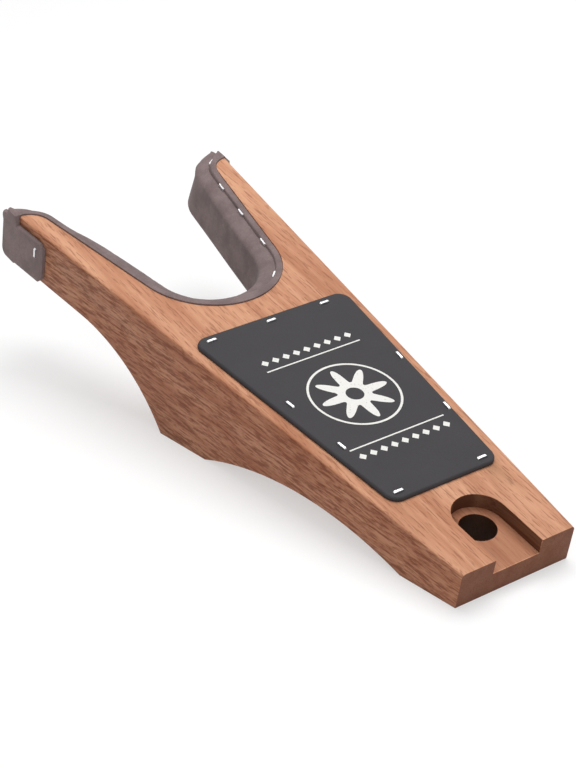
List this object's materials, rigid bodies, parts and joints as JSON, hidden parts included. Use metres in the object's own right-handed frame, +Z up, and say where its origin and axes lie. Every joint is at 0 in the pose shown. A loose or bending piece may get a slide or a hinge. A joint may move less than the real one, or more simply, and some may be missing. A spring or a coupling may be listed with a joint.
{
  "type": "boot jack",
  "caption": "Wooden boot jack: a sloping board on two feet with a forked heel notch lined in padded suede, a stapled leather patch on top and a slotted toe with a hanging hole.",
  "frame": {"origin": "under the middle of the whole jack, at floor level", "axes": "+Y along the jack from the low toe end to the raised fork, +X to the right seen from the toe end, +Z up"},
  "size_m": [0.1348, 0.332, 0.0845],
  "materials": {
    "hardwood": "satin, reddish brown",
    "patch_leather": "matt charcoal",
    "suede": "matt warm grey suede",
    "foam": "matt dark foam",
    "staple_wire": "bright zinc plated"
  },
  "bodies": {
    "root": {"wood_body": "hardwood", "top_patch": "patch_leather", "suede_lining": "suede", "foam_padding": "foam", "patch_staple_rear_left": "staple_wire", "patch_staple_rear_middle": "staple_wire", "patch_staple_rear_right": "staple_wire", "patch_staple_left_rear": "staple_wire", "patch_staple_left_front": "staple_wire", "patch_staple_right_rear": "staple_wire", "patch_staple_right_front": "staple_wire", "patch_staple_front_left": "staple_wire", "patch_staple_front_right": "staple_wire", "lining_staple_middle": "staple_wire", "lining_staple_left_1": "staple_wire", "lining_staple_left_2": "staple_wire", "lining_staple_left_3": "staple_wire", "lining_staple_left_4": "staple_wire", "lining_staple_left_tip": "staple_wire", "lining_staple_right_1": "staple_wire", "lining_staple_right_2": "staple_wire", "lining_staple_right_3": "staple_wire", "lining_staple_right_4": "staple_wire", "lining_staple_right_tip": "staple_wire", "tab_staple_left": "staple_wire", "tab_staple_right": "staple_wire"}
  },
  "joints": []
}
